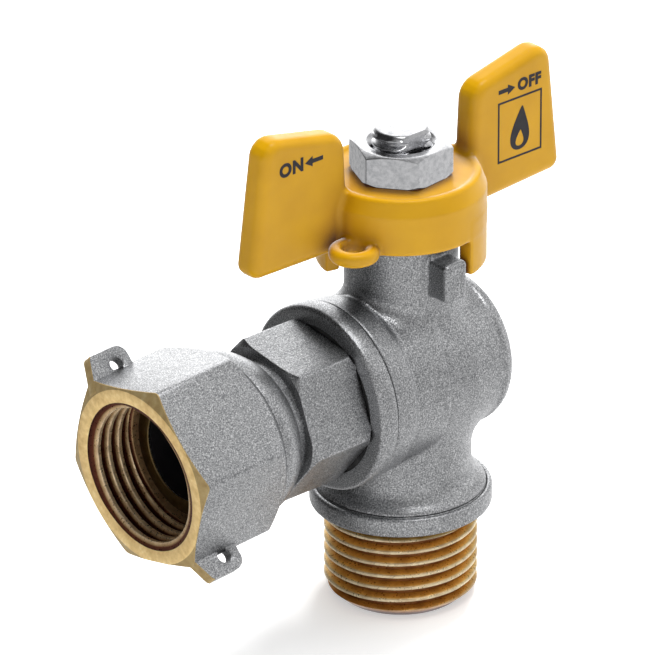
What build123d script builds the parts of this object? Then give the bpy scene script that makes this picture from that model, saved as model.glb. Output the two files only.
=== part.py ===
"""Angle gas ball valve: G1/2 swivel union inlet, G1/2 male outlet, quarter-turn butterfly handle.

Frame: origin at the centre of the outlet thread's free end, +Z up along the outlet and the stem,
the inlet runs along -X, and the handle's stop peg points along -Y.  The handle is in the open position.
All sizes are in millimetres.
"""
import os
from math import asin, cos, degrees, radians, sin, sqrt, tan

from build123d import *

# ---- pipe threads (ISO 228 G1/2), modelled as plain cylinders at their real radii ----
THREAD_MAJOR_R = 20.955 / 2
THREAD_MINOR_R = 18.631 / 2

# ---- main axes ----
INLET_AXIS_Z = 33.6
CLEAR = 0.05
TOUCH = 0.02

# ---- outlet: thread, flange and lower neck ----
OUTLET_BORE_R = 6.6
OUTLET_BORE_DEPTH = 18.0
OUTLET_PORT_R = 6.0
THREAD_END_R = 8.7
THREAD_END_CHAMFER = 1.7
FLANGE_R = 12.45
FLANGE_BOTTOM_Z = 13.7
FLANGE_EDGE_Z = 16.3
FLANGE_TOP_R = 12.0
LOWER_NECK_R = 9.6
LOWER_NECK_START_Z = 20.0
FLANGE_TOP_RISE = 0.3
COVE_POINTS = [(1.2, 0.35), (0.35, 0.65)]

# ---- barrel, along the inlet axis ----
BARREL_FRONT_X = -15.2
FRONT_RING_R = 13.0
FRONT_RING_EDGE = 0.5
FRONT_RING_END_X = -12.1
RING_STEP = 0.3
BAND_R = 12.7
BAND_TAPER = 0.2
BAND_END_X = -8.4
BAND_RAMP = 0.7
PANEL_R = 12.1
PANEL_END_X = -1.7
# rear of the barrel, from its (x, radius) points
REAR_PROFILE = [
    (-1.1, 11.7), (3.5, 11.6), (7.0, 11.1), (9.0, 10.85), (9.5, 11.0), (9.9, 10.85), (11.03, 10.38), (11.5, 9.25),
]
CAVITY_R = 9.9
BODY_SOCKET_R = 10.6
SOCKET_END_X = -9.2

# ---- upper neck and stop peg ----
NECK_R = 7.7
NECK_TOP_Z = 58.4
PEG_WIDTH = 3.9
PEG_BOTTOM_Z = 47.0
PEG_TOP_Z = 52.4
PEG_END_Y = -11.0
PEG_CHAMFER = 0.8

# ---- ball and seats ----
BALL_R = 9.25
BALL_PORT_R = 5.5
SEAT_INNER_R = 5.8
SEAT_OUTER_R = 8.6
SEAT_NEAR = 5.9
SEAT_FAR = 8.6
SEAT_GAP = 0.06
BACKING_CORD = 1.2
BACKING_R = 7.7

# ---- stem ----
STEM_R = 4.95
STEM_BORE_R = 5.0
STEM_COLLAR_R = 6.2
COLLAR_BORE_R = 6.3
COLLAR_BOTTOM_Z = 43.0
COLLAR_TOP_Z = 45.2
WASHER_TOP_Z = 46.0
TANG_WIDTH = 3.0
TANG_LENGTH = 9.0
TANG_DEPTH = 2.4
SLOT_MARGIN = 0.08
O_RING_CORD = 1.2
O_RING_GROOVE_R = 3.75
O_RING_GROOVE_WIDTH = 1.5
O_RING_LOWER_Z = 49.0
O_RING_UPPER_Z = 53.0
STEM_SHOULDER_Z = 59.6
STEM_THREAD_R = 4.0
STEM_FLATS = 6.0
STEM_TOP_Z = 68.9
STEM_TOP_CHAMFER = 0.55

# ---- handle ----
HUB_R = 11.5
HUB_RIM_R = 10.5
HUB_RIM_WIDTH = 0.8
HUB_RIM_EDGE = 0.25
HUB_FOOT_EDGE = 0.4
HUB_INNER_R = 9.4
HUB_BOTTOM_Z = 55.0
HUB_CREASE_Z = 60.6
HUB_RIM_Z = 62.8
HUB_SEAT_Z = 62.4
HUB_SEAT_R = 7.2
NUT_SPACE_R = 7.6
HUB_PLATE_Z = 59.6
TAB_BOTTOM_Z = 50.1
STOP_TAB_SPAN = 38.0
HANDLE_TURN = 90.0
WING_THICKNESS = 4.0
WING_OFFSET_Y = 1.42
# wing outlines in the (distance from the stem axis, z) plane: inner foot, outer foot, outer top, inner top
INLET_WING = [(9.4, 54.2), (27.0, 54.5), (24.3, 74.0), (10.3, 71.0)]
FAR_WING = [(9.4, 55.0), (26.4, 56.0), (24.2, 75.3), (10.3, 72.2)]
WING_CORNER_R = 2.6
WING_FOOT_R = 1.6
WING_EDGE_R = 1.3
EYE_ANGLE = 199.4
EYE_CENTRE_R = 13.2
EYE_OUTER_R = 3.4
EYE_HOLE_R = 1.5
EYE_BOTTOM_Z = 54.8
EYE_TOP_Z = 56.8
EYE_ROUNDING = 0.8

# ---- handle nut ----
NUT_FLATS = 12.3
NUT_TURN = 6.3
NUT_FOOT_R = 6.6
NUT_FOOT_CHAMFER = 0.35
NUT_TOP_Z = 66.9
NUT_TOP_FACE_R = 6.0
NUT_TOP_CHAMFER = 0.45

# ---- tailpiece, measured from the stem axis along the inlet ----
TAIL_HEX_FLATS = 19.7
TAIL_HEX_TURN = -21.0
TAIL_CORNER_R = 0.5
TAIL_HEX_REAR = 15.2
TAIL_HEX_FRONT = 25.35
TAIL_FRONT_FACE_R = 10.4
TAIL_REAR_FACE_R = 10.8
TAIL_HEX_CHAMFER = 0.55
TAIL_RELIEF_R = 9.7
TAIL_SPIGOT_START = 14.0
BODY_SEAL_WIDTH = 0.9
TAIL_TUBE_R = 9.0
TAIL_FACE = 39.2
TAIL_FACE_EDGE = 0.5
TAIL_BORE_R = 6.8
TAIL_GROOVE_R = 8.0
TAIL_GROOVE_WIDTH = 3.2
TAIL_END = 6.6

# ---- union nut, measured along its own axis from the stem axis ----
UNION_DROOP = 3.35
DROOP_PIVOT = 28.3
UNION_FLATS = 24.6
FORGING_OFFSET = 0.3
UNION_CORNER_R = 1.0
UNION_TURN = -42.8
UNION_FRONT = 46.7
UNION_HEX_REAR = 31.2
UNION_HEX_CHAMFER = 1.9
UNION_REAR = 26.4
COLLAR_R = 11.7
# domed rear of the nut, from its (station, radius) points
DOME = [(30.2, 11.6), (29.2, 11.35), (28.3, 10.95), (27.5, 10.4), (26.9, 9.9), (26.4, 9.4)]
UNION_FACE_R = 12.3
FACE_CONE_ANGLE = 20.0
UNION_MOUTH_R = 10.95
UNION_LIP_R = 9.2
UNION_LIP_END = 29.5
UNION_BORE_R = 9.75
MOUTH_CHAMFER = 0.98
UNION_THREAD_START = 39.9
EAR_ROOT_R = 11.5
EAR_OUTER_R = 16.9
EAR_CORNER_R = 1.6
EAR_THICKNESS = 1.75
EAR_LENGTH = 7.6
EAR_HOLE_R = 1.0
EAR_HOLE_RADIUS = 14.5
EAR_HOLE_STATION = 41.5
RING_STATION = 35.0
RING_MEAN_R = 9.35
RING_WIRE_R = 0.8
RING_GAP_ANGLE = 24.0


def revolve_z(points):
    """Solid of revolution about the Z axis from (radius, z) points."""
    face = Plane.XZ * make_face(Polyline(*[(r, z) for r, z in points], close=True))
    return revolve(face, Axis.Z)


def revolve_inlet(points, centre_z=INLET_AXIS_Z):
    """Solid of revolution about the inlet axis from (x, radius) points."""
    face = Plane.XZ * make_face(Polyline(*[(x, centre_z + r) for x, r in points], close=True))
    return revolve(face, Axis((0, 0, centre_z), (1, 0, 0)))


def rod_z(radius, low, high, x=0.0, y=0.0):
    """Upright cylinder between two heights."""
    return Pos(x, y, (low + high) / 2) * Cylinder(radius, high - low)


def rod_x(radius, low, high):
    """Cylinder on the inlet axis between two x stations."""
    return Pos((low + high) / 2, 0, INLET_AXIS_Z) * Rot(0, 90, 0) * Cylinder(radius, high - low)


def torus_on_inlet(station, mean_r, cord_r):
    """O-ring on the inlet axis."""
    return Pos(station, 0, INLET_AXIS_Z) * Rot(0, 90, 0) * Torus(mean_r, cord_r)


def inlet_hexagon(flats, turn, x_low, x_high, corner_r):
    """Hexagonal bar on the inlet axis; turn is a corner's angle from +Z towards -Y."""
    length = x_high - x_low
    outline = RegularPolygon(flats / 2, 6, major_radius=False)
    outline = fillet(outline.vertices(), corner_r)
    to_corner = (0, -sin(radians(turn)), cos(radians(turn)))
    corner = Plane((x_low, 0, INLET_AXIS_Z), x_dir=to_corner, z_dir=(1, 0, 0))
    return extrude(corner * outline, length)


def droop(shape):
    """Tip a shape on the inlet axis down by the union nut's play."""
    axis = Axis((-DROOP_PIVOT, 0, INLET_AXIS_Z), (0, 1, 0))
    return shape.rotate(axis, -UNION_DROOP)


def make_valve_body():
    """Forged body: barrel, two necks, flange, thread and stop peg."""
    barrel = revolve_inlet([
        (BARREL_FRONT_X, 0),
        (BARREL_FRONT_X, FRONT_RING_R - FRONT_RING_EDGE),
        (BARREL_FRONT_X + FRONT_RING_EDGE, FRONT_RING_R),
        (FRONT_RING_END_X, FRONT_RING_R),
        (FRONT_RING_END_X + RING_STEP, BAND_R),
        (BAND_END_X, BAND_R - BAND_TAPER),
        (BAND_END_X + BAND_RAMP, PANEL_R),
        (PANEL_END_X, PANEL_R),
        *REAR_PROFILE,
        (REAR_PROFILE[-1][0], 0),
    ])
    cove = LOWER_NECK_START_Z - FLANGE_EDGE_Z
    foot = revolve_z([
        (0, 0),
        (THREAD_END_R, 0),
        (THREAD_MAJOR_R, THREAD_END_CHAMFER),
        (THREAD_MAJOR_R, FLANGE_BOTTOM_Z),
        (FLANGE_R, FLANGE_BOTTOM_Z),
        (FLANGE_R, FLANGE_EDGE_Z),
        (FLANGE_TOP_R, FLANGE_EDGE_Z + FLANGE_TOP_RISE),
        *[(LOWER_NECK_R + out, FLANGE_EDGE_Z + part * cove) for out, part in COVE_POINTS],
        (LOWER_NECK_R, LOWER_NECK_START_Z),
        (LOWER_NECK_R, INLET_AXIS_Z),
        (0, INLET_AXIS_Z),
    ])
    neck = rod_z(NECK_R, INLET_AXIS_Z, NECK_TOP_Z)
    peg_length = -PEG_END_Y
    peg = Pos(0, PEG_END_Y / 2, (PEG_BOTTOM_Z + PEG_TOP_Z) / 2)
    peg = peg * Box(PEG_WIDTH, peg_length, PEG_TOP_Z - PEG_BOTTOM_Z)
    peg = chamfer(peg.edges().filter_by(Axis.Y), PEG_CHAMFER)
    body = barrel + foot + neck + peg

    body -= rod_x(BODY_SOCKET_R, BARREL_FRONT_X, SOCKET_END_X)
    body -= rod_x(CAVITY_R, SOCKET_END_X, SEAT_NEAR)
    body -= rod_x(SEAT_OUTER_R, SEAT_NEAR, SEAT_FAR + BACKING_CORD)
    body -= rod_z(OUTLET_BORE_R, 0, OUTLET_BORE_DEPTH)
    body -= rod_z(OUTLET_PORT_R, 0, INLET_AXIS_Z)
    body -= rod_z(COLLAR_BORE_R, INLET_AXIS_Z, WASHER_TOP_Z + TOUCH)
    body -= rod_z(STEM_BORE_R, INLET_AXIS_Z, NECK_TOP_Z)
    return body


def make_tailpiece():
    """Inlet connector: threaded spigot, hexagon, tube with ring groove, sealing face."""
    spigot = rod_x(BODY_SOCKET_R - TOUCH, -TAIL_SPIGOT_START, SOCKET_END_X - TOUCH)
    relief = rod_x(TAIL_RELIEF_R, -TAIL_HEX_REAR, SOCKET_END_X)
    nose = rod_x(CAVITY_R - CLEAR, SOCKET_END_X - TOUCH, -TAIL_END)
    hexagon = inlet_hexagon(TAIL_HEX_FLATS, TAIL_HEX_TURN, -TAIL_HEX_FRONT, -TAIL_HEX_REAR, TAIL_CORNER_R)
    corner_r = TAIL_HEX_FLATS / sqrt(3)
    hexagon &= revolve_inlet([
        (-TAIL_HEX_FRONT, 0),
        (-TAIL_HEX_FRONT, TAIL_FRONT_FACE_R),
        (-TAIL_HEX_FRONT + TAIL_HEX_CHAMFER, corner_r),
        (-TAIL_HEX_REAR - TAIL_HEX_CHAMFER, corner_r),
        (-TAIL_HEX_REAR, TAIL_REAR_FACE_R),
        (-TAIL_HEX_REAR, 0),
    ])
    tube = revolve_inlet([
        (-TAIL_FACE, 0),
        (-TAIL_FACE, TAIL_TUBE_R - TAIL_FACE_EDGE),
        (-TAIL_FACE + TAIL_FACE_EDGE, TAIL_TUBE_R),
        (-TAIL_HEX_FRONT, TAIL_TUBE_R),
        (-TAIL_HEX_FRONT, 0),
    ])
    ring_half = TAIL_GROOVE_WIDTH / 2
    groove = rod_x(TAIL_TUBE_R + 1, -RING_STATION - ring_half, -RING_STATION + ring_half)
    groove -= rod_x(TAIL_GROOVE_R, -RING_STATION - ring_half, -RING_STATION + ring_half)
    tail = spigot + relief + nose + hexagon + tube - groove
    tail -= rod_x(TAIL_BORE_R, -TAIL_FACE, -TAIL_END)
    tail -= rod_x(SEAT_OUTER_R, -SEAT_FAR - BACKING_CORD, -TAIL_END)
    return tail


def make_body_seal():
    """Thin ring of thread sealant in the relief between hexagon and barrel."""
    low = -TAIL_SPIGOT_START - BODY_SEAL_WIDTH
    high = -TAIL_SPIGOT_START
    return rod_x(BODY_SOCKET_R - TOUCH, low, high) - rod_x(TAIL_RELIEF_R, low, high)


def make_ball():
    """L-port ball: one port faces the inlet, the other the outlet; the stem slot is on top."""
    ball = Pos(0, 0, INLET_AXIS_Z) * Sphere(BALL_R)
    ball -= rod_x(BALL_PORT_R, -BALL_R, 0)
    ball -= Pos(0, 0, INLET_AXIS_Z) * Sphere(BALL_PORT_R)
    ball -= rod_z(BALL_PORT_R, INLET_AXIS_Z - BALL_R, INLET_AXIS_Z)
    slot_bottom = COLLAR_BOTTOM_Z - TANG_DEPTH - SLOT_MARGIN
    slot_height = BALL_R
    slot = Box(2 * BALL_R, TANG_WIDTH + 2 * SLOT_MARGIN, slot_height)
    ball -= Pos(0, 0, slot_bottom + slot_height / 2) * slot
    return ball


def make_seat(side):
    """PTFE seat ring with a spherical face; side is -1 at the inlet and +1 at the closed end."""
    section = Polyline(
        (SEAT_NEAR, SEAT_INNER_R),
        (SEAT_FAR, SEAT_INNER_R),
        (SEAT_FAR, SEAT_OUTER_R - TOUCH),
        (SEAT_NEAR, SEAT_OUTER_R - TOUCH),
        close=True,
    )
    face = make_face(section) - Circle(BALL_R + SEAT_GAP)
    seat = revolve(Plane.XZ * face, Axis.X)
    return Pos(0, 0, INLET_AXIS_Z) * Rot(0, 0, 90 - 90 * side) * seat


def make_seat_backing(side):
    """Elastomer ring behind a seat."""
    return torus_on_inlet(side * (SEAT_FAR + BACKING_CORD / 2), BACKING_R, BACKING_CORD / 2 - TOUCH)


def make_stem():
    """Anti-blow-out stem: tang, collar, sealed shank, flats and threaded end."""
    top_r = STEM_THREAD_R - STEM_TOP_CHAMFER
    stem = revolve_z([
        (0, COLLAR_BOTTOM_Z),
        (STEM_COLLAR_R, COLLAR_BOTTOM_Z),
        (STEM_COLLAR_R, COLLAR_TOP_Z),
        (STEM_R, COLLAR_TOP_Z),
        (STEM_R, STEM_SHOULDER_Z),
        (STEM_THREAD_R, STEM_SHOULDER_Z),
        (STEM_THREAD_R, STEM_TOP_Z - STEM_TOP_CHAMFER),
        (top_r, STEM_TOP_Z),
        (0, STEM_TOP_Z),
    ])
    for z in (O_RING_LOWER_Z, O_RING_UPPER_Z):
        low = z - O_RING_GROOVE_WIDTH / 2
        high = z + O_RING_GROOVE_WIDTH / 2
        stem -= rod_z(STEM_R + 1, low, high) - rod_z(O_RING_GROOVE_R, low, high)
    flat_height = STEM_TOP_Z - STEM_SHOULDER_Z
    for side in (-1, 1):
        flat = Pos(0, side * (STEM_FLATS + STEM_R) / 2, STEM_SHOULDER_Z + flat_height / 2)
        stem -= flat * Box(2 * STEM_R, STEM_R, flat_height)
    tang = Box(TANG_LENGTH, TANG_WIDTH, TANG_DEPTH)
    stem += Pos(0, 0, COLLAR_BOTTOM_Z - TANG_DEPTH / 2) * tang
    return stem


def make_thrust_washer():
    """PTFE friction washer above the stem's collar."""
    washer = rod_z(COLLAR_BORE_R - CLEAR, COLLAR_TOP_Z, WASHER_TOP_Z)
    return washer - rod_z(STEM_BORE_R, COLLAR_TOP_Z, WASHER_TOP_Z)


def make_stem_o_ring(z):
    """Stem seal in its groove."""
    cord_r = O_RING_CORD / 2
    return Pos(0, 0, z) * Torus(O_RING_GROOVE_R + cord_r + TOUCH / 2, cord_r)


def tab_sector(start, end):
    """Stop tab: part of the hub's skirt between two angles, carried further down."""
    top = (HUB_CREASE_Z + HUB_BOTTOM_Z) / 2
    ring = rod_z(HUB_R, TAB_BOTTOM_Z, top) - rod_z(HUB_INNER_R, TAB_BOTTOM_Z, top)
    reach = 2 * HUB_R
    middle = radians((start + end) / 2)
    wedge = Polyline(
        (0, 0),
        (reach * cos(radians(start)), reach * sin(radians(start))),
        (reach * cos(middle), reach * sin(middle)),
        (reach * cos(radians(end)), reach * sin(radians(end))),
        close=True,
    )
    return ring & Pos(0, 0, TAB_BOTTOM_Z) * extrude(make_face(wedge), top - TAB_BOTTOM_Z)


def make_wing(corners):
    """A wing on the +X side: an upright plate with rounded corners and edges."""
    outline = make_face(Polyline(*corners, close=True))
    outline = fillet(outline.vertices().sort_by(Axis.Y)[-2:], WING_CORNER_R)
    outer_foot = outline.vertices().sort_by(Axis.X)[-2:].sort_by(Axis.Y)[0]
    outline = fillet(outer_foot, WING_FOOT_R)
    plate = extrude(Plane.XZ * outline, WING_THICKNESS / 2, both=True)
    front = plate.faces().sort_by(Axis.Y)[0].edges()
    back = plate.faces().sort_by(Axis.Y)[-1].edges()
    return Pos(0, -WING_OFFSET_Y, 0) * fillet(front + back, WING_EDGE_R)


def make_handle():
    """Butterfly handle: cupped hub with two stop tabs, two wings and a seal eye."""
    hub = revolve_z([
        (0, HUB_PLATE_Z),
        (HUB_INNER_R, HUB_PLATE_Z),
        (HUB_INNER_R, HUB_BOTTOM_Z),
        (HUB_R - HUB_FOOT_EDGE, HUB_BOTTOM_Z),
        (HUB_R, HUB_BOTTOM_Z + HUB_FOOT_EDGE),
        (HUB_R, HUB_CREASE_Z),
        (HUB_RIM_R + HUB_RIM_EDGE, HUB_RIM_Z - HUB_RIM_EDGE),
        (HUB_RIM_R, HUB_RIM_Z),
        (HUB_RIM_R - HUB_RIM_WIDTH, HUB_RIM_Z),
        (HUB_SEAT_R, HUB_SEAT_Z),
        (0, HUB_SEAT_Z),
    ])
    handle = hub + make_wing(FAR_WING) + Rot(0, 0, 180) * make_wing(INLET_WING)
    handle -= rod_z(HUB_INNER_R, TAB_BOTTOM_Z, HUB_PLATE_Z)
    handle -= rod_z(NUT_SPACE_R, HUB_SEAT_Z, STEM_TOP_Z)

    contact = 90 - degrees(asin((PEG_WIDTH / 2 + CLEAR) / HUB_INNER_R))
    first = -contact
    handle += tab_sector(first, first + STOP_TAB_SPAN)
    second = -180 + contact - HANDLE_TURN
    handle += tab_sector(second - STOP_TAB_SPAN, second)

    eye_x = EYE_CENTRE_R * cos(radians(EYE_ANGLE))
    eye_y = EYE_CENTRE_R * sin(radians(EYE_ANGLE))
    eye = rod_z(EYE_OUTER_R, EYE_BOTTOM_Z, EYE_TOP_Z, eye_x, eye_y)
    rims = eye.edges().filter_by(GeomType.CIRCLE)
    handle += fillet(rims, EYE_ROUNDING) - rod_z(HUB_INNER_R, EYE_BOTTOM_Z, EYE_TOP_Z)
    handle -= rod_z(EYE_HOLE_R, EYE_BOTTOM_Z, EYE_TOP_Z, eye_x, eye_y)

    stem_hole = rod_z(STEM_THREAD_R + CLEAR, HUB_PLATE_Z, HUB_RIM_Z)
    flats = Box(2 * HUB_R, STEM_FLATS + 2 * CLEAR, 2 * (HUB_RIM_Z - HUB_PLATE_Z))
    return handle - (stem_hole & Pos(0, 0, HUB_PLATE_Z) * flats)


def make_handle_nut():
    """Thin hexagon nut, chamfered at both ends; its bore is the stem's thread."""
    corner_r = NUT_FLATS / sqrt(3)
    outline = Rot(0, 0, NUT_TURN) * RegularPolygon(NUT_FLATS / 2, 6, major_radius=False)
    hexagon = Pos(0, 0, HUB_SEAT_Z) * extrude(outline, NUT_TOP_Z - HUB_SEAT_Z)
    hexagon &= revolve_z([
        (0, HUB_SEAT_Z),
        (NUT_FOOT_R, HUB_SEAT_Z),
        (corner_r, HUB_SEAT_Z + NUT_FOOT_CHAMFER),
        (corner_r, NUT_TOP_Z - NUT_TOP_CHAMFER),
        (NUT_TOP_FACE_R, NUT_TOP_Z),
        (0, NUT_TOP_Z),
    ])
    return hexagon - rod_z(STEM_THREAD_R + TOUCH, HUB_SEAT_Z, NUT_TOP_Z)


def make_union_forging():
    """Outside of the swivel nut: hexagon with chamfered rear corners and two seal ears."""
    corner_r = UNION_FLATS / sqrt(3)
    forging = inlet_hexagon(UNION_FLATS, UNION_TURN, -UNION_FRONT, -UNION_HEX_REAR, UNION_CORNER_R)
    forging &= revolve_inlet([
        (-UNION_FRONT, 0),
        (-UNION_FRONT, corner_r),
        (-UNION_HEX_REAR - UNION_HEX_CHAMFER, corner_r),
        (-UNION_HEX_REAR, COLLAR_R),
        (-UNION_HEX_REAR, 0),
    ])
    for half_turn in (0, 180):
        ear = Box(EAR_LENGTH, EAR_THICKNESS, EAR_OUTER_R - EAR_ROOT_R)
        ear = Pos(-UNION_FRONT + EAR_LENGTH / 2, 0, (EAR_OUTER_R + EAR_ROOT_R) / 2) * ear
        rear_corner = ear.edges().filter_by(Axis.Y).sort_by(Axis.Z)[-2:].sort_by(Axis.X)[-1]
        ear = fillet(rear_corner, EAR_CORNER_R)
        hole = Cylinder(EAR_HOLE_R, 2 * EAR_THICKNESS)
        ear -= Pos(-EAR_HOLE_STATION, 0, EAR_HOLE_RADIUS) * Rot(90, 0, 0) * hole
        forging += Pos(0, 0, INLET_AXIS_Z) * Rot(UNION_TURN + half_turn, 0, 0) * ear
    turn = radians(UNION_TURN)
    return Pos(0, -FORGING_OFFSET * sin(turn), FORGING_OFFSET * cos(turn)) * forging


def make_union_nut():
    """Swivel nut: forged outside with a turned conical front, domed rear, lip, ring groove and bore."""
    nut = make_union_forging()
    nut += revolve_inlet([
        (-UNION_HEX_REAR, 0),
        (-UNION_HEX_REAR, COLLAR_R),
        *[(-station, radius) for station, radius in DOME],
        (-UNION_REAR, 0),
    ])
    reach = EAR_OUTER_R + 1
    nut &= revolve_inlet([
        (-UNION_FRONT, 0),
        (-UNION_FRONT, UNION_FACE_R),
        (-UNION_FRONT + (reach - UNION_FACE_R) * tan(radians(FACE_CONE_ANGLE)), reach),
        (-UNION_REAR, reach),
        (-UNION_REAR, 0),
    ])
    relief_end = UNION_THREAD_START - (UNION_BORE_R - THREAD_MINOR_R)
    nut -= revolve_inlet([
        (-UNION_FRONT, 0),
        (-UNION_FRONT, UNION_MOUTH_R),
        (-UNION_FRONT + MOUTH_CHAMFER, THREAD_MINOR_R),
        (-UNION_THREAD_START, THREAD_MINOR_R),
        (-relief_end, UNION_BORE_R),
        (-UNION_LIP_END, UNION_BORE_R),
        (-UNION_LIP_END, UNION_LIP_R),
        (-UNION_REAR, UNION_LIP_R),
        (-UNION_REAR, 0),
    ])
    groove_half = RING_WIRE_R + CLEAR
    groove_r = RING_MEAN_R + RING_WIRE_R + CLEAR
    nut -= rod_x(groove_r, -RING_STATION - groove_half, -RING_STATION + groove_half)
    return droop(nut)


def make_retaining_ring():
    """Split wire ring that holds the nut on the tailpiece; its gap is at the bottom."""
    ring = torus_on_inlet(-RING_STATION, RING_MEAN_R, RING_WIRE_R)
    gap_width = 2 * RING_MEAN_R * sin(radians(RING_GAP_ANGLE / 2))
    gap = Box(4 * RING_WIRE_R, gap_width, 4 * RING_WIRE_R)
    ring -= Pos(-RING_STATION, 0, INLET_AXIS_Z - RING_MEAN_R) * gap
    return droop(ring)


def make_parts():
    """Every separate piece of the valve, by node name."""
    return {
        "valve_body": make_valve_body(),
        "tailpiece": make_tailpiece(),
        "body_seal": make_body_seal(),
        "inlet_seat": make_seat(-1),
        "rear_seat": make_seat(1),
        "inlet_seat_backing": make_seat_backing(-1),
        "rear_seat_backing": make_seat_backing(1),
        "ball": make_ball(),
        "stem": make_stem(),
        "stem_thrust_washer": make_thrust_washer(),
        "stem_o_ring_lower": make_stem_o_ring(O_RING_LOWER_Z),
        "stem_o_ring_upper": make_stem_o_ring(O_RING_UPPER_Z),
        "handle": make_handle(),
        "handle_nut": make_handle_nut(),
        "union_nut": make_union_nut(),
        "union_retaining_ring": make_retaining_ring(),
    }


os.makedirs("parts", exist_ok=True)
for node, shape in make_parts().items():
    shape.label = node
    export_step(shape, f"parts/{node}.step")
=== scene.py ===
"""Looks of the angle gas ball valve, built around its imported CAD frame."""
from math import atan2, cos, pi, radians, sin, tan

import bpy
import numpy as np
from mathutils import Matrix, Vector


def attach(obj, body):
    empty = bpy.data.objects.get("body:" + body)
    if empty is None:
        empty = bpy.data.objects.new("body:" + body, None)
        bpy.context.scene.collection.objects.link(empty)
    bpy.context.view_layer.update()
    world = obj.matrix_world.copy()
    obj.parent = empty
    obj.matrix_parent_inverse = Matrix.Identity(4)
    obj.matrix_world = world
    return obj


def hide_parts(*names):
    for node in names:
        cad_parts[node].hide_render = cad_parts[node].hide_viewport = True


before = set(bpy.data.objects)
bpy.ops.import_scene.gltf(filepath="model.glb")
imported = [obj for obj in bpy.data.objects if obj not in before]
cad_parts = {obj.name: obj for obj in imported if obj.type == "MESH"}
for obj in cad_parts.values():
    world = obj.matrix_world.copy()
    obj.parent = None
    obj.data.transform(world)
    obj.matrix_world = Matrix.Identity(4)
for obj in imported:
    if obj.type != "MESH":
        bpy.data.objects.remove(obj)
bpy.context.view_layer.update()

MM = 0.001

# Sizes in millimetres. The outlet axis is Z; the inlet axis runs along -X at height AXIS_Z.
AXIS_Z = 33.6
OUTLET_BORE = 6.6
THREAD_MAJOR = 10.4775
THREAD_MINOR = 9.3155
THREAD_PITCH = 1.8143
DROOP = radians(3.35)
PIVOT = np.array([-28.3, 0.0, AXIS_Z])
NUT_FACE = 46.7
NUT_FACE_RADIUS = 12.3
NUT_CHAMFER = tan(radians(20))
SKIRT_INNER = 9.4
SKIRT_OUTER = 11.5
HUB_TOP = 62.4
WING_OFFSET = 1.42
INK_DEPTH = 0.03
FLAME_POINTS = 64


# ---------------------------------------------------------------- camera, floor and light
def make_camera():
    """Long lens at the photograph's viewing angle."""
    turn, lift = radians(-42.43), radians(25.79)
    back = Vector((sin(turn) * cos(lift), -cos(turn) * cos(lift), sin(lift)))
    right = Vector((cos(turn), sin(turn), 0))
    camera = bpy.data.objects.new("camera", bpy.data.cameras.new("camera"))
    bpy.context.scene.collection.objects.link(camera)
    pose = Matrix((right, back.cross(right), back)).transposed().to_4x4()
    pose.translation = Vector((-0.62511, -0.67902, 0.48516))
    camera.matrix_world = pose
    camera.data.lens = 418.7
    camera.data.shift_x = -0.0749
    camera.data.clip_end = 20
    bpy.context.scene.camera = camera


def area_light(name, place, aim, size, power):
    data = bpy.data.lights.new(name, "AREA")
    data.energy = power
    data.size = size
    light = bpy.data.objects.new(name, data)
    bpy.context.scene.collection.objects.link(light)
    light.location = place
    light.rotation_euler = (Vector(aim) - Vector(place)).to_track_quat("-Z", "Y").to_euler()
    return light


def link(tree, a, b):
    tree.links.new(a, b)


def make_world():
    """Pale studio: lightest at the horizon, with darker and brighter patches that shape the metal."""
    world = bpy.data.worlds.new("studio")
    bpy.context.scene.world = world
    world.use_nodes = True
    tree = world.node_tree
    coord = tree.nodes.new("ShaderNodeTexCoord")
    split = tree.nodes.new("ShaderNodeSeparateXYZ")
    link(tree, coord.outputs["Generated"], split.inputs[0])
    height = tree.nodes.new("ShaderNodeMath")
    height.operation = "MULTIPLY_ADD"
    link(tree, split.outputs["Z"], height.inputs[0])
    height.inputs[1].default_value = 0.5
    height.inputs[2].default_value = 0.5
    tone = ramp_of(tree, height.outputs[0], [
        (0.0, 0.62), (0.35, 0.72), (0.5, 0.85), (0.62, 0.62), (0.78, 0.42), (1.0, 0.38),
    ])
    for toward, low, high, shade in (
        ((-0.60, 0.52, 0.61), 0.42, 0.86, 0.07),
        ((-0.61, 0.66, -0.44), 0.45, 0.86, 0.32),
        ((0.61, -0.79, 0.05), 0.80, 0.98, 0.66),
        ((0.61, -0.48, 0.63), 0.80, 0.98, 1.90),
        ((0.61, 0.50, 0.62), 0.93, 0.995, 2.10),
        ((0.60, 0.79, 0.10), 0.85, 0.99, 2.00),
        ((0.51, 0.67, -0.54), 0.60, 0.97, 1.60),
        ((0.97, -0.05, -0.25), 0.50, 0.95, 1.22),
    ):
        near = tree.nodes.new("ShaderNodeVectorMath")
        near.operation = "DOT_PRODUCT"
        link(tree, coord.outputs["Generated"], near.inputs[0])
        near.inputs[1].default_value = toward
        veil = ramp_of(tree, near.outputs["Value"], [(low, 1.0), (high, shade)])
        mix = tree.nodes.new("ShaderNodeMix")
        mix.data_type = "RGBA"
        mix.blend_type = "MULTIPLY"
        mix.inputs["Factor"].default_value = 1.0
        link(tree, tone, mix.inputs["A"])
        link(tree, veil, mix.inputs["B"])
        tone = mix.outputs["Result"]
    background = tree.nodes["Background"]
    link(tree, tone, background.inputs[0])
    background.inputs[1].default_value = 0.95


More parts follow.
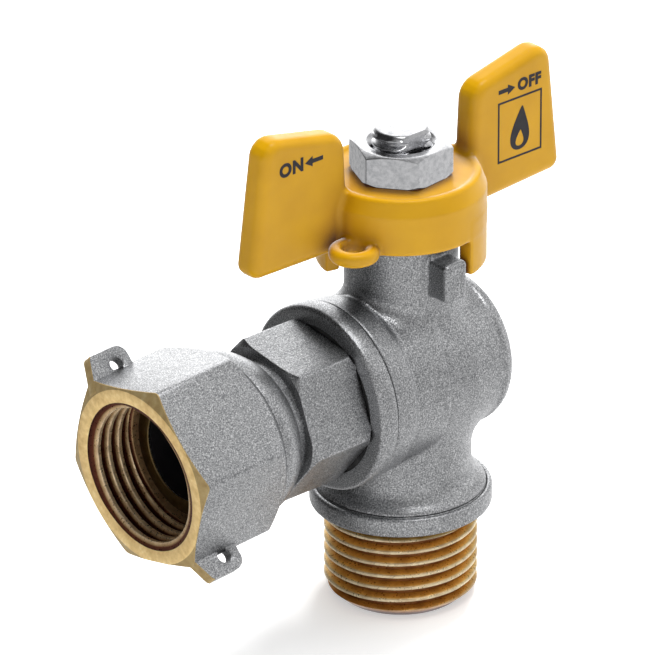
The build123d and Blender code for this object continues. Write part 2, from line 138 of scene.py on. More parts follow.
def make_floor():
    """Plain pale floor, kept out of the metal's reflections."""
    reach = 6.0
    corners = [(-reach, -reach, 0), (reach, -reach, 0), (reach, reach, 0), (-reach, reach, 0)]
    mesh = bpy.data.meshes.new("floor")
    mesh.from_pydata(corners, [], [(0, 1, 2, 3)])
    floor = bpy.data.objects.new("floor", mesh)
    bpy.context.scene.collection.objects.link(floor)
    mat, _, shader = new_material("floor")
    shader.inputs["Base Color"].default_value = (0.93, 0.93, 0.93, 1)
    shader.inputs["Roughness"].default_value = 0.9
    shader.inputs["Specular IOR Level"].default_value = 0.1
    shader.inputs["Emission Color"].default_value = (1, 1, 1, 1)
    shader.inputs["Emission Strength"].default_value = 0.45
    mesh.materials.append(mat)
    floor.visible_glossy = False


def make_studio():
    bpy.context.scene.view_settings.view_transform = "Standard"
    make_world()
    make_floor()
    centre = (0, 0, 0.04)
    area_light("backdrop", (0.62, 0.72, 0.55), centre, 0.9, 1.5)
    area_light("top_box", (0.05, -0.15, 1.1), centre, 0.5, 3.0)
    wash = area_light("top_wash", (0.30, 0.20, 1.0), centre, 0.35, 13.0)
    wash.visible_glossy = False
    side = area_light("left_box", (-0.95, -0.25, 0.35), centre, 0.4, 1.4)
    side.visible_glossy = False


# ---------------------------------------------------------------- materials
def new_material(name):
    mat = bpy.data.materials.new(name)
    mat.use_nodes = True
    tree = mat.node_tree
    return mat, tree, tree.nodes["Principled BSDF"]


def noise(tree, scale, detail=2.0, rough=0.5):
    coord = tree.nodes.new("ShaderNodeTexCoord")
    node = tree.nodes.new("ShaderNodeTexNoise")
    node.inputs["Scale"].default_value = scale
    node.inputs["Detail"].default_value = detail
    node.inputs["Roughness"].default_value = rough
    link(tree, coord.outputs["Object"], node.inputs["Vector"])
    return node.outputs["Fac"]


def ramp_of(tree, fac, stops):
    """Colour ramp; each stop is a place with a grey level or a colour."""
    node = tree.nodes.new("ShaderNodeValToRGB")
    elements = node.color_ramp.elements
    while len(elements) < len(stops):
        elements.new(0.5)
    for element, (place, colour) in zip(elements, stops):
        element.position = place
        rgb = colour if isinstance(colour, tuple) else (colour, colour, colour)
        element.color = (*rgb, 1)
    link(tree, fac, node.inputs[0])
    return node.outputs[0]


def bump_of(tree, height, strength, distance, after=None):
    node = tree.nodes.new("ShaderNodeBump")
    node.inputs["Strength"].default_value = strength
    node.inputs["Distance"].default_value = distance
    link(tree, height, node.inputs["Height"])
    if after is not None:
        link(tree, after, node.inputs["Normal"])
    return node.outputs[0]


def painted_crease_shade(tree, tone, reach, stops):
    """Painted shade: multiplies a tone by stops over how enclosed the surface is within reach millimetres,
    darkening creases and recesses.
    """
    node = tree.nodes.new("ShaderNodeAmbientOcclusion")
    node.samples = 8
    node.inputs["Distance"].default_value = reach * MM
    return mixed(tree, 1.0, tone, ramp_of(tree, node.outputs["AO"], stops), "MULTIPLY")


def blasted_nickel():
    """Shot-blasted nickel plate: fine sparkling grain over a slightly uneven tone, with painted shade in
    creases.
    """
    mat, tree, shader = new_material("blasted_nickel")
    grain = noise(tree, 5600, 1.0, 0.6)
    tone = ramp_of(tree, grain, [
        (0.30, (0.22, 0.225, 0.235)),
        (0.50, (0.45, 0.455, 0.465)),
        (0.64, (0.72, 0.725, 0.735)),
        (0.74, (0.92, 0.92, 0.93)),
    ])
    # Painted shade: darkens the nickel in creases and recesses within 6 mm.
    tone = painted_crease_shade(tree, tone, 6.0, [(0.15, 0.2), (0.55, 0.92), (1.0, 1.0)])
    link(tree, tone, shader.inputs["Base Color"])
    shader.inputs["Metallic"].default_value = 1.0
    rough = ramp_of(tree, noise(tree, 900, 3.0), [(0.3, 0.34), (0.7, 0.44)])
    link(tree, rough, shader.inputs["Roughness"])
    coarse = bump_of(tree, noise(tree, 1400, 2.0), 0.2, 0.00005)
    link(tree, bump_of(tree, grain, 0.6, 0.00004, coarse), shader.inputs["Normal"])
    return mat


def raw_brass(name, painted_light_level=1.0, metal=1.0):
    """Machined brass with slight tarnish; darker copies paint shade on faces turned from the light or sunk
    in recesses, and a lower metal is duller.
    """
    mat, tree, shader = new_material(name)
    tone = ramp_of(tree, noise(tree, 900, 4.0, 0.6), [
        (0.3, (0.64 * painted_light_level, 0.43 * painted_light_level, 0.17 * painted_light_level)),
        (0.6, (0.82 * painted_light_level, 0.60 * painted_light_level, 0.27 * painted_light_level)),
        (0.8, (0.92 * painted_light_level, 0.74 * painted_light_level, 0.40 * painted_light_level)),
    ])
    link(tree, tone, shader.inputs["Base Color"])
    shader.inputs["Metallic"].default_value = metal
    rough = ramp_of(tree, noise(tree, 2600, 2.0), [(0.3, 0.36), (0.7, 0.5)])
    link(tree, rough, shader.inputs["Roughness"])
    link(tree, bump_of(tree, noise(tree, 3800, 2.0), 0.3, 0.00003), shader.inputs["Normal"])
    return mat


def radius_from(tree, origin, axis):
    """Distance in metres from an axis, in object coordinates."""
    coord = tree.nodes.new("ShaderNodeTexCoord")
    arm = tree.nodes.new("ShaderNodeVectorMath")
    arm.operation = "SUBTRACT"
    link(tree, coord.outputs["Object"], arm.inputs[0])
    arm.inputs[1].default_value = origin
    cross = tree.nodes.new("ShaderNodeVectorMath")
    cross.operation = "CROSS_PRODUCT"
    link(tree, arm.outputs["Vector"], cross.inputs[0])
    cross.inputs[1].default_value = axis
    length = tree.nodes.new("ShaderNodeVectorMath")
    length.operation = "LENGTH"
    link(tree, cross.outputs["Vector"], length.inputs[0])
    return length.outputs["Value"]


def between(tree, value, low, high):
    """Maps low..high to 0..1."""
    node = tree.nodes.new("ShaderNodeMapRange")
    node.inputs["From Min"].default_value = low
    node.inputs["From Max"].default_value = high
    link(tree, value, node.inputs["Value"])
    return node.outputs["Result"]


def mixed(tree, fac, a, b, blend="MIX"):
    node = tree.nodes.new("ShaderNodeMix")
    node.data_type = "RGBA"
    node.blend_type = blend
    if isinstance(fac, float):
        node.inputs["Factor"].default_value = fac
    else:
        link(tree, fac, node.inputs["Factor"])
    link(tree, a, node.inputs["A"])
    link(tree, b, node.inputs["B"])
    return node.outputs["Result"]


def thread_brass_painted_shading(name, origin, axis, stops, low, high):
    """Cut thread: painted highlight on the crests and painted shade in the roots, as a tone by radius from
    low to high in millimetres, with turning streaks.
    """
    mat, tree, shader = new_material(name)
    radius = between(tree, radius_from(tree, origin, axis), low * MM, high * MM)
    # Painted highlight on the crests and painted shade in the roots, by radius.
    tone = ramp_of(tree, radius, stops)
    streak = ramp_of(tree, noise(tree, 700, 3.0, 0.6), [(0.35, (0.72, 0.66, 0.62)), (0.65, 1.0)])
    link(tree, mixed(tree, 1.0, tone, streak, "MULTIPLY"), shader.inputs["Base Color"])
    shader.inputs["Metallic"].default_value = 0.7
    rough = ramp_of(tree, noise(tree, 2600, 2.0), [(0.3, 0.25), (0.7, 0.4)])
    link(tree, rough, shader.inputs["Roughness"])
    link(tree, bump_of(tree, noise(tree, 3000, 2.0), 0.25, 0.00003), shader.inputs["Normal"])
    return mat


def paint_foot_reflection(mat, low, high):
    """Painted dark reflection: reddens and darkens a material's base colour below the heights low..high in
    millimetres.
    """
    tree = mat.node_tree
    shader = tree.nodes["Principled BSDF"]
    coord = tree.nodes.new("ShaderNodeTexCoord")
    split = tree.nodes.new("ShaderNodeSeparateXYZ")
    link(tree, coord.outputs["Object"], split.inputs[0])
    height = between(tree, split.outputs["Z"], low * MM, high * MM)
    foot = ramp_of(tree, height, [(0.0, (0.42, 0.22, 0.14)), (1.0, 1.0)])
    tone = shader.inputs["Base Color"].links[0].from_socket
    link(tree, mixed(tree, 1.0, tone, foot, "MULTIPLY"), shader.inputs["Base Color"])


def yellow_paint():
    """Thick glossy enamel with slight orange peel over a cast surface, with painted shade in creases."""
    mat, tree, shader = new_material("yellow_paint")
    tone = ramp_of(tree, noise(tree, 160, 3.0), [
        (0.3, (0.52, 0.268, 0.002)),
        (0.7, (0.585, 0.31, 0.003)),
    ])
    # Painted shade: darkens and reddens the paint in creases within 4 mm.
    tone = painted_crease_shade(tree, tone, 4.0, [(0.3, (0.30, 0.16, 0.12)), (0.8, (0.92, 0.88, 0.9)), (1.0, 1.0)])
    link(tree, tone, shader.inputs["Base Color"])
    shader.inputs["Specular IOR Level"].default_value = 0.22
    rough = ramp_of(tree, noise(tree, 1100, 2.0), [(0.3, 0.34), (0.7, 0.42)])
    link(tree, rough, shader.inputs["Roughness"])
    shader.inputs["Coat Weight"].default_value = 0.3
    shader.inputs["Coat Roughness"].default_value = 0.12
    peel = bump_of(tree, noise(tree, 500, 2.0), 0.08, 0.0001)
    link(tree, peel, shader.inputs["Normal"])
    return mat


def bright_zinc(name, rough_low=0.16, rough_high=0.28, grey=0.76):
    """Bright zinc or nickel plate over machined steel."""
    mat, tree, shader = new_material(name)
    tone = ramp_of(tree, noise(tree, 1300, 4.0, 0.65), [
        (0.35, (grey * 0.72, grey * 0.73, grey * 0.75)),
        (0.6, (grey, grey, grey * 1.02)),
    ])
    link(tree, tone, shader.inputs["Base Color"])
    shader.inputs["Metallic"].default_value = 1.0
    rough = ramp_of(tree, noise(tree, 2200, 3.0), [(0.35, rough_low), (0.7, rough_high)])
    link(tree, rough, shader.inputs["Roughness"])
    link(tree, bump_of(tree, noise(tree, 2400, 3.0), 0.22, 0.00004), shader.inputs["Normal"])
    return mat


def plain_soft(name, dark, pale, roughness, scale):
    """Matt polymer or elastomer, or a near-black painted shadow."""
    mat, tree, shader = new_material(name)
    tone = ramp_of(tree, noise(tree, scale, 3.0), [(0.3, dark), (0.7, pale)])
    link(tree, tone, shader.inputs["Base Color"])
    shader.inputs["Roughness"].default_value = roughness
    link(tree, bump_of(tree, noise(tree, scale * 3, 2.0), 0.2, 0.00003), shader.inputs["Normal"])
    return mat


# ---------------------------------------------------------------- meshes
def add_piece(name, points, faces, body, mats, face_mats=None, sharp=35.0):
    """A piece from points in millimetres; it rides on a body."""
    mesh = bpy.data.meshes.new(name)
    mesh.from_pydata((np.asarray(points) * MM).tolist(), [], [tuple(f) for f in faces])
    mesh.update()
    for mat in mats:
        mesh.materials.append(mat)
    if face_mats is not None:
        mesh.polygons.foreach_set("material_index", np.asarray(face_mats, dtype=np.int32))
    mesh.shade_smooth()
    if sharp:
        mesh.set_sharp_from_angle(angle=radians(sharp))
    piece = bpy.data.objects.new(name, mesh)
    bpy.context.scene.collection.objects.link(piece)
    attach(piece, body)
    return piece


def ring_faces(rings, count, closed=True):
    """Quads between consecutive rings of count points; closed joins the last ring to the first."""
    faces = []
    spans = rings if closed else rings - 1
    around = np.arange(count)
    nxt = (around + 1) % count
    for i in range(spans):
        a = i * count
        b = ((i + 1) % rings) * count
        faces.append(np.stack([a + around, a + nxt, b + nxt, b + around], 1))
    return np.concatenate(faces)


def turned_z(rings, angles):
    """Points of rings about Z. Each ring is (radius, z), where both may vary with the angle."""
    points = []
    for radius, height in rings:
        r = np.broadcast_to(radius, angles.shape)
        z = np.broadcast_to(height, angles.shape)
        points.append(np.stack([r * np.cos(angles), r * np.sin(angles), z], 1))
    return np.concatenate(points)


def turned_inlet(rings, angles):
    """Points of rings about the inlet axis, each (station, radius); angles run from +Z to -Y."""
    points = []
    for station, radius in rings:
        s = np.broadcast_to(station, angles.shape)
        r = np.broadcast_to(radius, angles.shape)
        points.append(np.stack([-s, -r * np.sin(angles), AXIS_Z + r * np.cos(angles)], 1))
    return np.concatenate(points)


def drooped(points):
    """Tips points on the inlet axis down about the nut's pivot."""
    p = points - PIVOT
    x = p[:, 0] * cos(DROOP) - p[:, 2] * sin(DROOP)
    z = p[:, 0] * sin(DROOP) + p[:, 2] * cos(DROOP)
    return np.stack([x, p[:, 1], z], 1) + PIVOT


def even_angles(count):
    return np.arange(count) * 2 * pi / count


def hex_corner(flats, corner):
    """Where a rounded corner's circle is centred, and the angle from the corner at which it ends."""
    centre = (flats / 2 - corner) / cos(pi / 6)
    touch = atan2(corner * 0.5, centre + corner * cos(pi / 6))
    return centre, touch


def hex_radius(angles, flats, turn, corner):
    """Radius of a hexagon with rounded corners at each angle."""
    third = pi / 3
    off = np.abs((angles - turn + third / 2) % third - third / 2)
    centre, touch = hex_corner(flats, corner)
    flat_radius = (flats / 2) / np.cos(pi / 6 - off)
    inside = np.maximum(corner**2 - (centre * np.sin(off)) ** 2, 0)
    arc_radius = centre * np.cos(off) + np.sqrt(inside)
    return np.where(off < touch, arc_radius, flat_radius)


def hex_angles(turn, flats, corner, flat_steps=16, corner_steps=6):
    """Angles that resolve a rounded hexagon's corners."""
    _, touch = hex_corner(flats, corner)
    base = np.concatenate([
        np.linspace(-touch, touch, corner_steps, endpoint=False),
        np.linspace(touch, pi / 3 - touch, flat_steps, endpoint=False),
    ])
    return np.concatenate([turn + k * pi / 3 + base for k in range(6)])


def whitworth(phase, root, crest, middle=0.5):
    """Radius of a rounded thread at a phase in turns; a lower middle widens the crest."""
    wave = np.abs(2 * (phase % 1.0) - 1)
    ramp = np.clip((wave - middle) * 1.5 + 0.5, 0, 1)
    smooth = ramp * ramp * (3 - 2 * ramp)
    return root + (crest - root) * (0.45 * ramp + 0.55 * smooth)


# ---------------------------------------------------------------- solids with soft blends
def surface_net(field, low, high, step):
    """Quads on the zero surface of a distance field, with its points pulled onto the surface."""
    axes = [np.arange(low[i], high[i] + step, step) for i in range(3)]
    value = np.empty([len(a) for a in axes])
    for i, x in enumerate(axes[0]):
        value[i] = field(x, axes[1][:, None], axes[2][None, :])
    inside = value < 0
    cells = tuple(n - 1 for n in value.shape)
    corner = {}
    for k in range(8):
        d = (k & 1, k >> 1 & 1, k >> 2 & 1)
        corner[d] = tuple(slice(d[i], d[i] + cells[i]) for i in range(3))
    full = sum(inside[c].astype(np.int8) for c in corner.values())
    where = np.argwhere((full > 0) & (full < 8))
    index = np.full(cells, -1, dtype=np.int64)
    index[tuple(where.T)] = np.arange(len(where))
    total = np.zeros((len(where), 3))
    hits = np.zeros(len(where))
    for a in corner:
        for axis in range(3):
            if a[axis]:
                continue
            va = value[tuple((where + a).T)]
            b = list(a)
            b[axis] = 1
            vb = value[tuple((where + b).T)]
            cross = (va < 0) != (vb < 0)
            t = np.where(cross, va / np.where(va == vb, 1, va - vb), 0)
            point = np.tile(np.array(a, float), (len(where), 1))
            point[:, axis] = t
            total += point * cross[:, None]
            hits += cross
    points = (where + total / hits[:, None]) * step + np.array([a[0] for a in axes])
    small = step * 0.1
    for _ in range(4):
        f = field(*points.T)
        slope = np.empty_like(points)
        for axis in range(3):
            shift = np.zeros(3)
            shift[axis] = small
            slope[:, axis] = (field(*(points + shift).T) - field(*(points - shift).T)) / (2 * small)
        pull = f / np.maximum((slope**2).sum(1), 0.2)
        points -= np.clip(pull, -step * 0.6, step * 0.6)[:, None] * slope
    faces = []
    for axis in range(3):
        u, v = (axis + 1) % 3, (axis + 2) % 3
        here = [slice(None)] * 3
        there = [slice(None)] * 3
        here[axis] = slice(0, -1)
        there[axis] = slice(1, None)
        change = inside[tuple(here)] != inside[tuple(there)]
        place = np.argwhere(change)
        keep = (place[:, u] > 0) & (place[:, v] > 0) & (place[:, u] < cells[u]) & (place[:, v] < cells[v])
        place = place[keep]
        quad = []
        for du, dv in ((1, 1), (0, 1), (0, 0), (1, 0)):
            p = place.copy()
            p[:, u] -= du
            p[:, v] -= dv
            quad.append(index[tuple(p.T)])
        quad = np.stack(quad, 1)
        flip = ~inside[tuple(place.T)]
        quad[flip] = quad[flip][:, ::-1]
        faces.append(quad)
    return points, np.concatenate(faces)


def soft_min(a, b, k):
    """Smaller of two distances, with a blend about k wide."""
    h = np.maximum(k - np.abs(a - b), 0) / k
    return np.minimum(a, b) - h * h * k * 0.25


def soft_max(a, b, k):
    return -soft_min(-a, -b, k)


def outline_distance(px, py, outline):
    """Signed distance to a closed outline in the plane, negative inside."""
    px, py = np.broadcast_arrays(px, py)
    best = np.full(px.shape, 1e9)
    inside = np.zeros(px.shape, bool)
    for (ax, ay), (bx, by) in zip(outline, outline[1:] + outline[:1]):
        ex, ey = bx - ax, by - ay
        wx, wy = px - ax, py - ay
        t = np.clip((wx * ex + wy * ey) / (ex * ex + ey * ey), 0, 1)
        best = np.minimum(best, (wx - ex * t) ** 2 + (wy - ey * t) ** 2)
        if ey != 0:
            cross = ((ay > py) != (by > py)) & (px < ex * (py - ay) / ey + ax)
            inside ^= cross
    return np.where(inside, -1, 1) * np.sqrt(best)


def rounded_edge(a, b, radius):
    """What lies inside both distances, with a rounded edge where they meet."""
    a = a + radius
    b = b + radius
    return np.hypot(np.maximum(a, 0), np.maximum(b, 0)) + np.minimum(np.maximum(a, b), 0) - radius


def rod(radial, along, radius, low, high):
    """Distance to a cylinder from the radial and axial coordinates."""
    side = radial - radius
    end = np.maximum(low - along, along - high)
    return np.maximum(side, end)


def block(x, y, z, centre, half, radius):
    """Distance to a box with rounded edges."""
    qx = np.abs(x - centre[0]) - half[0] + radius
    qy = np.abs(y - centre[1]) - half[1] + radius
    qz = np.abs(z - centre[2]) - half[2] + radius
    outside = np.sqrt(np.maximum(qx, 0) ** 2 + np.maximum(qy, 0) ** 2 + np.maximum(qz, 0) ** 2)
    return outside + np.minimum(np.maximum(np.maximum(qx, qy), qz), 0) - radius


# Half sections of the forging: the barrel's two shells as (x, radius), the foot as (radius, z).
FRONT_SHELL = [
    (-11.97, 0), (-11.97, 12.6), (-11.85, 12.72), (-8.75, 12.55), (-8.45, 12.42), (-7.95, 12.06),
    (-7.7, 12.0), (-7.3, 12.08), (-2.0, 12.1), (-1.78, 12.02), (-1.7, 11.8), (-1.7, 0),
]
REAR_SHELL = [
    (-6.0, 0), (-6.0, 11.3), (-1.75, 11.3), (-1.55, 11.5), (-1.1, 11.7), (3.5, 11.6), (7.0, 11.1),
    (8.6, 10.86), (9.05, 10.78), (9.5, 10.98), (9.95, 10.85), (10.5, 10.65), (11.0, 10.25), (11.35, 9.7),
    (11.5, 9.0), (11.5, 0),
]
FOOT = [
    (0, 16.35), (11.55, 16.35), (11.62, 16.6), (11.35, 16.95), (10.7, 17.5), (10.15, 18.2), (9.8, 19.0),
    (9.62, 20.0), (9.6, 21.0), (9.6, AXIS_Z), (0, AXIS_Z),
]

# Bores as (radius, from, to): socket, cavity and rear pocket along X, then outlet, port and stem along Z.
INLET_BORES = [(10.6, -20.0, -9.2), (9.9, -20.0, 5.9), (8.6, -20.0, 9.8)]
STEM_BORES = [
    (OUTLET_BORE, 0.0, 18.0), (6.0, 0.0, AXIS_Z), (6.3, AXIS_Z, 46.02), (5.0, AXIS_Z, 70.0),
]


def forging_field(x, y, z):
    """The forged body between its front ring and its flange."""
    across = np.hypot(y, z - AXIS_Z)
    round_z = np.hypot(x, y)
    front = outline_distance(x, across, FRONT_SHELL)
    rear = outline_distance(x, across, REAR_SHELL)
    foot = outline_distance(round_z, z, FOOT)
    neck = soft_max(round_z - 7.7, z - 58.4, 0.4)
    neck = np.maximum(neck, AXIS_Z - z)
    peg = block(x, y, z, (0, -6.0, 49.7), (1.95, 5.0, 2.7), 0.6)
    trunk = soft_min(rear, neck, 2.2)
    trunk = soft_min(trunk, foot, 2.2)
    upper = np.clip((z - AXIS_Z) / 4, 0, 1) * np.clip(1 - np.abs(neck) / 3, 0, 1)
    solid = soft_min(trunk, front, 0.35 + 1.3 * upper)
    solid = soft_min(solid, peg, 0.4)
    for radius, low, high in INLET_BORES:
        solid = np.maximum(solid, -rod(across, x, radius, low, high))
    for radius, low, high in STEM_BORES:
        solid = np.maximum(solid, -rod(round_z, z, radius, low, high))
    return solid


def make_forging(nickel):
    points, faces = surface_net(forging_field, (-13.0, -13.6, 15.6), (12.4, 13.6, 59.4), 0.28)
    forging = add_piece("body_forging", points, faces, "housing", [nickel], sharp=0)
    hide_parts("valve_body")


def make_front_ring(nickel):
    """Raised ring round the barrel's open end."""
    count = 192
    ring = [
        (15.2, 10.6), (15.2, 12.4), (15.1, 12.66), (14.9, 12.88), (14.65, 13.0), (12.5, 13.0),
        (12.32, 12.93), (12.2, 12.75), (12.14, 12.4), (12.05, 12.2), (12.05, 10.6),
    ]
    points = turned_inlet(ring, even_angles(count))
    faces = ring_faces(len(ring), count)
    add_piece("body_front_ring", points, faces, "housing", [nickel], sharp=50)


def make_flange(nickel):
    """Flange above the outlet thread, with a fine groove on top."""
    count = 192
    flange = [
        (OUTLET_BORE, 13.7), (12.15, 13.7), (12.38, 13.8), (12.45, 14.0), (12.45, 15.85), (12.38, 16.1),
        (12.2, 16.28), (11.9, 16.36), (11.75, 16.3), (11.68, 16.15), (11.6, 16.3), (11.3, 16.42),
        (OUTLET_BORE, 16.42),
    ]
    points = turned_z(flange, even_angles(count))
    faces = ring_faces(len(flange), count)
    add_piece("outlet_flange", points, faces, "housing", [nickel], sharp=50)


def make_outlet_thread(brass):
    """Male thread cut as a helix, chamfered at the foot and run out under the flange."""
    count = 256
    angles = even_angles(count)
    turns = angles / (2 * pi)
    rings = [(OUTLET_BORE, 13.72), (OUTLET_BORE, 0.15), (6.75, 0.0), (8.55, 0.0)]
    for z in np.concatenate([np.arange(0.06, 13.2, 0.1), [13.3, 13.5, 13.72]]):
        limit = min(THREAD_MAJOR, 8.62 + z * 1.09)
        fade = np.clip((z - 12.2) / 0.7, 0, 1)
        thread = whitworth(z / THREAD_PITCH - turns + 0.91, THREAD_MINOR, THREAD_MAJOR)
        thread = thread * (1 - fade) + 9.25 * fade
        rings.append((np.minimum(thread, limit), z))
    points = turned_z(rings, angles)
    faces = ring_faces(len(rings), count)
    add_piece("outlet_thread", points, faces, "housing", [brass], sharp=40)


def make_tail(nickel, nose_brass_painted_shade, painted_bore_shadow):
    """Inlet connector: hexagon, tube, ring groove and bore."""
    flats, turn, corner = 19.7, radians(-21.0), 0.5
    angles = hex_angles(turn, flats, corner)
    count = len(angles)
    hexagon = hex_radius(angles, flats, turn, corner)
    rear_cut = 15.22 + np.maximum(hexagon - 10.8, 0) * 0.85
    front_cut = 25.35 - np.maximum(hexagon - 10.4, 0) * 0.6
    socket = [(6.6, 6.8), (6.6, 9.85), (9.18, 9.85), (9.2, 10.56), (14.0, 10.56), (14.02, 9.7), (15.2, 9.7)]
    grip = [
        (15.22, np.minimum(hexagon, 10.8)), (rear_cut + 0.02, hexagon - 0.1), (rear_cut + 0.14, hexagon),
        (front_cut - 0.14, hexagon), (front_cut - 0.02, hexagon - 0.1),
        (25.35, np.minimum(hexagon - 0.12, 10.4)),
    ]
    neck = [(25.35, 9.2), (25.45, 9.02), (33.4, 9.0)]
    nose = [(33.4, 8.0), (36.6, 8.0), (36.6, 9.0), (38.75, 9.0), (39.08, 8.85), (39.2, 8.6), (39.2, 6.95)]
    mouth = [(39.12, 6.82), (38.95, 6.8)]
    rings = socket + grip + neck + nose + mouth
    start_nose = len(socket + grip + neck)
    start_mouth = start_nose + len(nose)
    faces = ring_faces(len(rings), count)[:, ::-1]
    mats = np.zeros(len(faces), int)
    # The nose takes a darker brass copy: painted shade inside the nut.
    mats[start_nose * count:start_mouth * count] = 1
    # The bore wall takes the near-black painted shadow.
    mats[-count:] = 2
    points = turned_inlet(rings, angles)
    tail_mats = [nickel, nose_brass_painted_shade, painted_bore_shadow]
    tail = add_piece("inlet_connector", points, faces, "housing", tail_mats, mats, sharp=30)
    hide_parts("tailpiece")


def shifted_hexagon(flats, turn, corner, shift):
    """Angles and radii, about the nut's axis, of a rounded hexagon shifted towards a corner."""
    own = hex_angles(turn, flats, corner, 30, 10)
    radius = hex_radius(own, flats, turn, corner)
    side = radius * np.sin(own) + shift * sin(turn)
    up = radius * np.cos(own) + shift * cos(turn)
    return np.arctan2(side, up), np.hypot(side, up)


def make_union(nickel, face_brass, edge_brass_painted_shade, bore_brass):
    """Union nut with its internal thread, machined front and two seal ears."""
    turn, shift = radians(-42.8), 0.3
    angles, hexagon = shifted_hexagon(24.598, turn, 1.0, shift)
    count = len(angles)
    face = np.minimum(hexagon, NUT_FACE_RADIUS)
    cone = NUT_FACE - np.maximum(hexagon - NUT_FACE_RADIUS, 0) * NUT_CHAMFER
    rear = 31.2 + np.maximum(hexagon - 11.75, 0) * 0.76
    turns = angles / (2 * pi)
    rings = [
        (26.4, 9.2), (29.5, 9.2), (29.5, 9.75), (34.15, 9.75), (34.15, 10.2), (35.85, 10.2), (35.85, 9.75),
        (39.4, 9.75), (39.8, 10.2),
    ]
    start_bore = 2
    for s in np.arange(40.0, 46.62, 0.085):
        mouth = np.clip((s - 46.2) / 0.45, 0, 1)
        entry = np.clip((s - 40.0) / 0.4, 0, 1)
        radius = whitworth(s / THREAD_PITCH + turns + 0.15, 10.62, THREAD_MINOR, 0.40)
        radius = np.maximum(radius, THREAD_MINOR + mouth * 1.45)
        rings.append((s, 10.2 * (1 - entry) + radius * entry))
    start_mouth = len(rings) - 1
    rings += [(46.66, 10.88), (NUT_FACE, 10.98), (NUT_FACE, face - 0.02), (46.69, face)]
    start_cone = len(rings) - 1
    rings += [(cone + 0.01, np.maximum(hexagon - 0.03, face)), (cone - 0.12, hexagon)]
    start_side = len(rings) - 1
    rings += [
        (rear + 0.25, hexagon), (rear + 0.08, hexagon - 0.06), (31.28, np.minimum(hexagon - 0.1, 11.9)),
        (31.2, 11.6), (31.08, 11.3), (30.95, 11.55), (30.2, 11.6), (29.6, 11.5), (29.0, 11.3),
        (28.3, 10.95), (27.5, 10.4), (26.9, 9.9), (26.55, 9.5), (26.4, 9.3),
    ]
    points = drooped(turned_inlet(rings, angles))
    faces = ring_faces(len(rings), count)
    mats = np.zeros(len(faces), int)
    mats[start_bore * count:start_mouth * count] = 3
    mats[start_mouth * count:start_cone * count] = 1
    # The chamfer cone takes the darker brass copy: painted shade.
    mats[start_cone * count:start_side * count] = 2
    nut_mats = [nickel, face_brass, edge_brass_painted_shade, bore_brass]
    nut = add_piece("union_nut_body", points, faces, "union_nut", nut_mats, mats, sharp=32)
    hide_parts("union_nut")
    offset = np.array([0.0, -shift * sin(turn), shift * cos(turn)])
    make_ear("union_nut_ear_upper", turn, offset, nickel, edge_brass_painted_shade)
    make_ear("union_nut_ear_lower", turn + pi, offset, nickel, edge_brass_painted_shade)


def make_ear(name, turn, offset, nickel, brass):
    """Seal ear: a thin plate along a corner of the nut, with a hole for the seal wire."""
    outer, corner_r = 16.89, 1.6
    rear, bend_steps = 39.1, 8
    front_out = NUT_FACE - (outer - NUT_FACE_RADIUS) * NUT_CHAMFER
    outline = [(46.5, 12.0), (46.69, NUT_FACE_RADIUS), (front_out, outer - 0.3), (front_out - 0.3, outer)]
    centre = (rear + corner_r, outer - corner_r)
    for k in range(bend_steps + 1):
        a = radians(90 + k * 90 / bend_steps)
        outline.append((centre[0] + corner_r * cos(a), centre[1] + corner_r * sin(a)))
    outline += [(rear, 12.4), (rear, 12.0)]
    hole_s, hole_r, radius = 41.5, 14.5, 1.0
    count = 96
    outer_loop = resample(outline, count)
    aim = np.arctan2(outer_loop[:, 1] - hole_r, outer_loop[:, 0] - hole_s)
    inner_loop = np.stack([hole_s + radius * np.cos(aim), hole_r + radius * np.sin(aim)], 1)
    centre_point = np.array([hole_s, hole_r])
    towards = outer_loop - centre_point
    half, edge = 0.872, 0.12
    inset = outer_loop - towards / np.linalg.norm(towards, axis=1)[:, None] * edge
    wide = centre_point + (inner_loop - centre_point) * 1.2
    loops = [
        (inner_loop, edge - half), (wide, -half), (inset, -half), (outer_loop, edge - half),
        (outer_loop, half - edge), (inset, half), (wide, half), (inner_loop, half - edge),
    ]
    radial = np.array([0.0, -sin(turn), cos(turn)])
    across = np.array([0.0, -cos(turn), -sin(turn)])
    points = []
    for loop, side in loops:
        base = np.zeros((count, 3))
        base[:, 0] = -loop[:, 0]
        base[:, 2] = AXIS_Z
        points.append(base + offset + loop[:, 1:2] * radial + side * across)
    points = drooped(np.concatenate(points))
    faces = ring_faces(len(loops), count)
    cone = NUT_FACE - (outer_loop[:, 1] - NUT_FACE_RADIUS) * NUT_CHAMFER
    on_front = outer_loop[:, 0] > cone - 0.35
    front = (on_front & np.roll(on_front, -1)).astype(int)
    mats = np.zeros(len(faces), int)
    # The ear's front strips take the darker brass copy: painted shade.
    for band in (2, 3, 4):
        mats[band * count:(band + 1) * count] = front
    add_piece(name, points, faces, "union_nut", [nickel, brass], mats, sharp=40)


def resample(outline, count):
    """Points evenly spaced along a closed outline."""
    path = np.array(outline + outline[:1], float)
    length = np.concatenate([[0], np.cumsum(np.linalg.norm(np.diff(path, axis=0), axis=1))])
    at = np.arange(count) * length[-1] / count
    return np.stack([np.interp(at, length, path[:, 0]), np.interp(at, length, path[:, 1])], 1)


